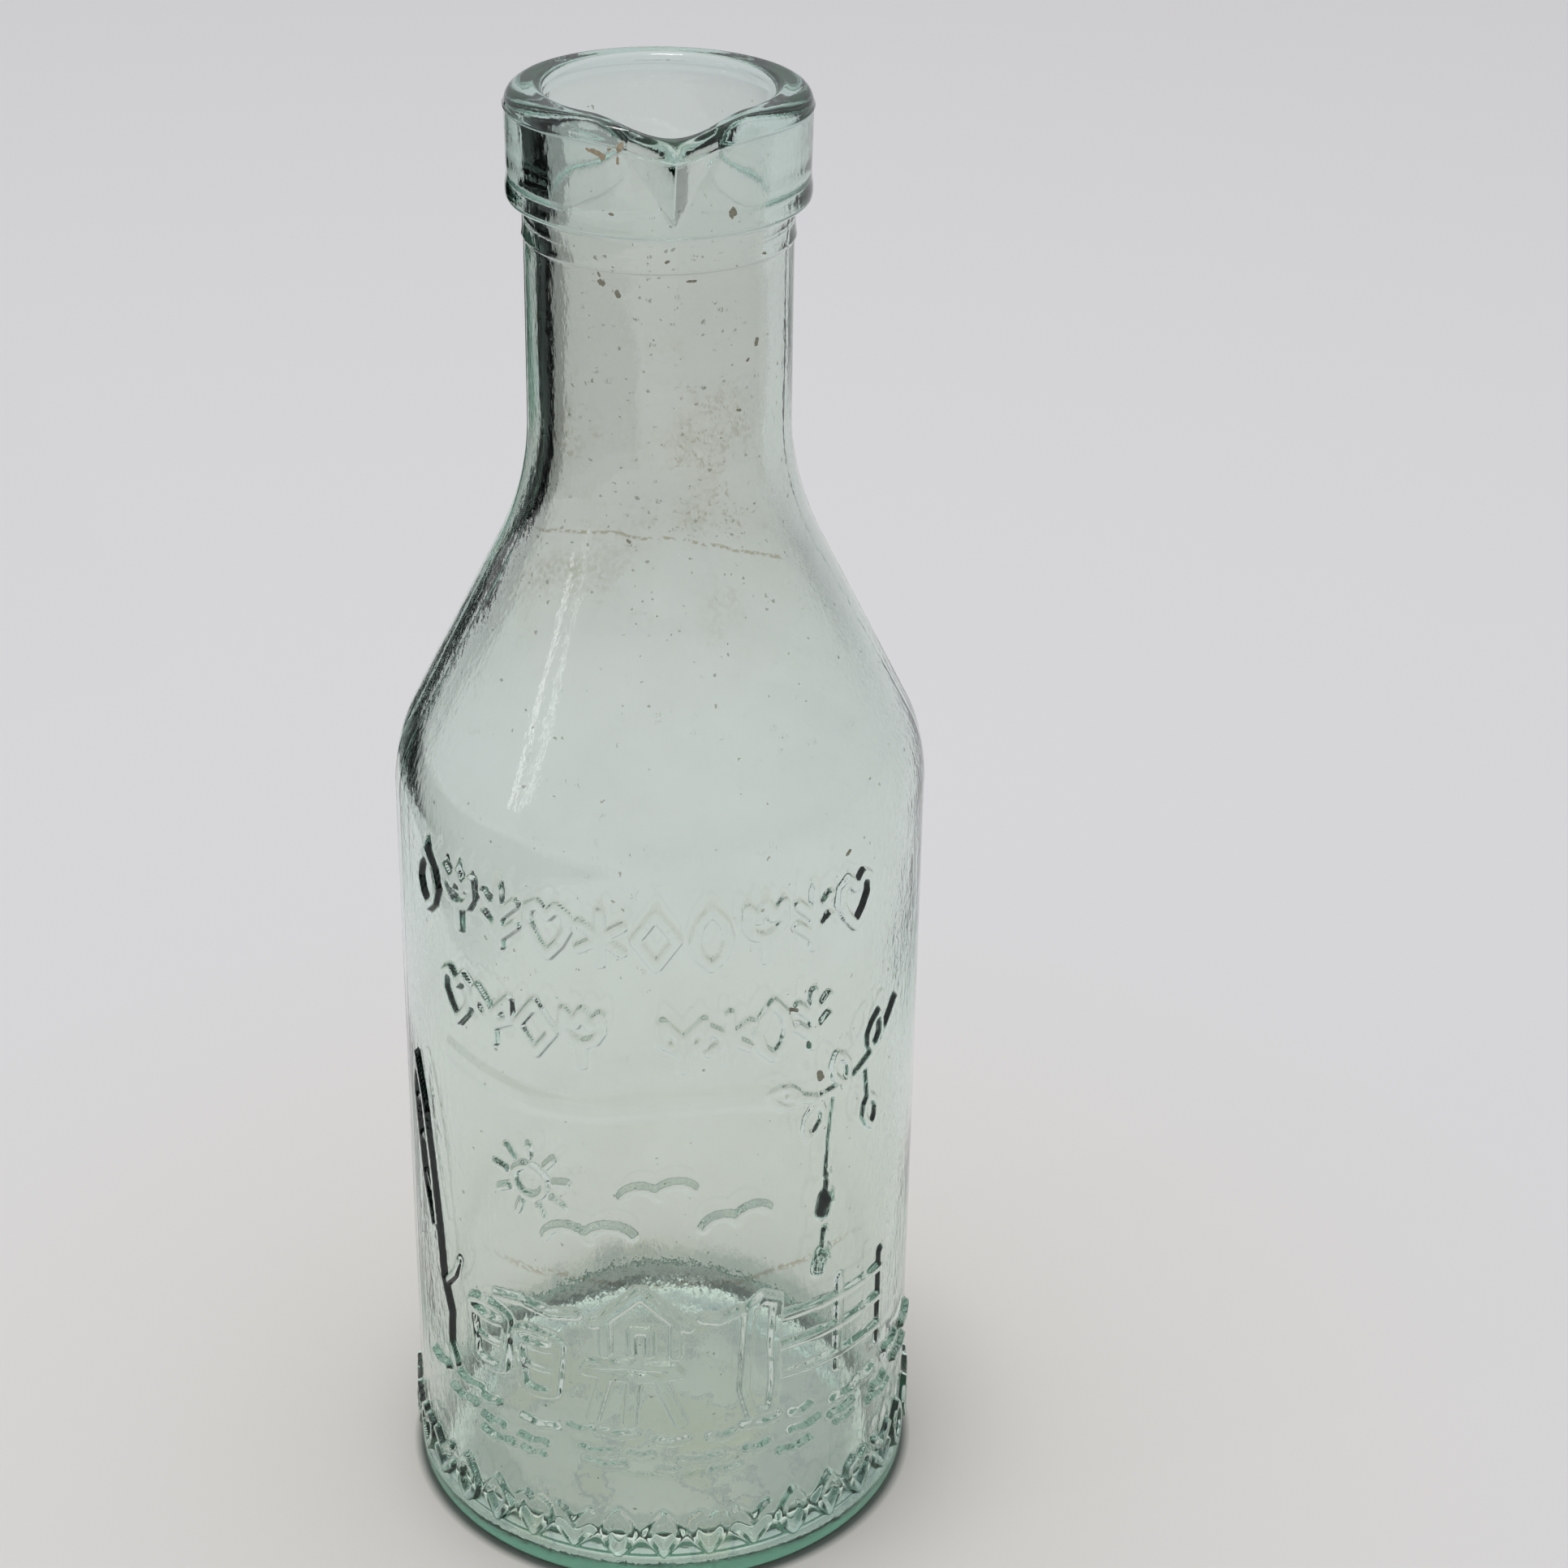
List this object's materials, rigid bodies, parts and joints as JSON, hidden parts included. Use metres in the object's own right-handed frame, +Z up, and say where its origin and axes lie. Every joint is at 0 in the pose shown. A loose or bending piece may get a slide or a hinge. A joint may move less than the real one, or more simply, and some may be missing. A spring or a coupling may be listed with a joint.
{
  "type": "glass milk bottle",
  "caption": "Tall round glass milk bottle with sloping shoulders, a thick collar and a beak-shaped pouring lip.",
  "frame": {"origin": "centre of the resting ring, on the surface the bottle stands on", "axes": "+Z up the bottle's axis, the pouring lip points to -Y, +X to the right seen from the front"},
  "size_m": [0.0948, 0.0948, 0.27],
  "materials": {
    "aqua_glass": "clear pale aqua-green blown glass, fire-polished, with faint ripples and a few seeds",
    "thick_aqua_glass": "the same glass where it is thick, so deeper green"
  },
  "bodies": {
    "root": {"base_and_heel": "thick_aqua_glass", "barrel": "aqua_glass", "shoulder": "aqua_glass", "neck": "aqua_glass", "collar": "thick_aqua_glass", "pouring_lip": "thick_aqua_glass"}
  },
  "joints": []
}
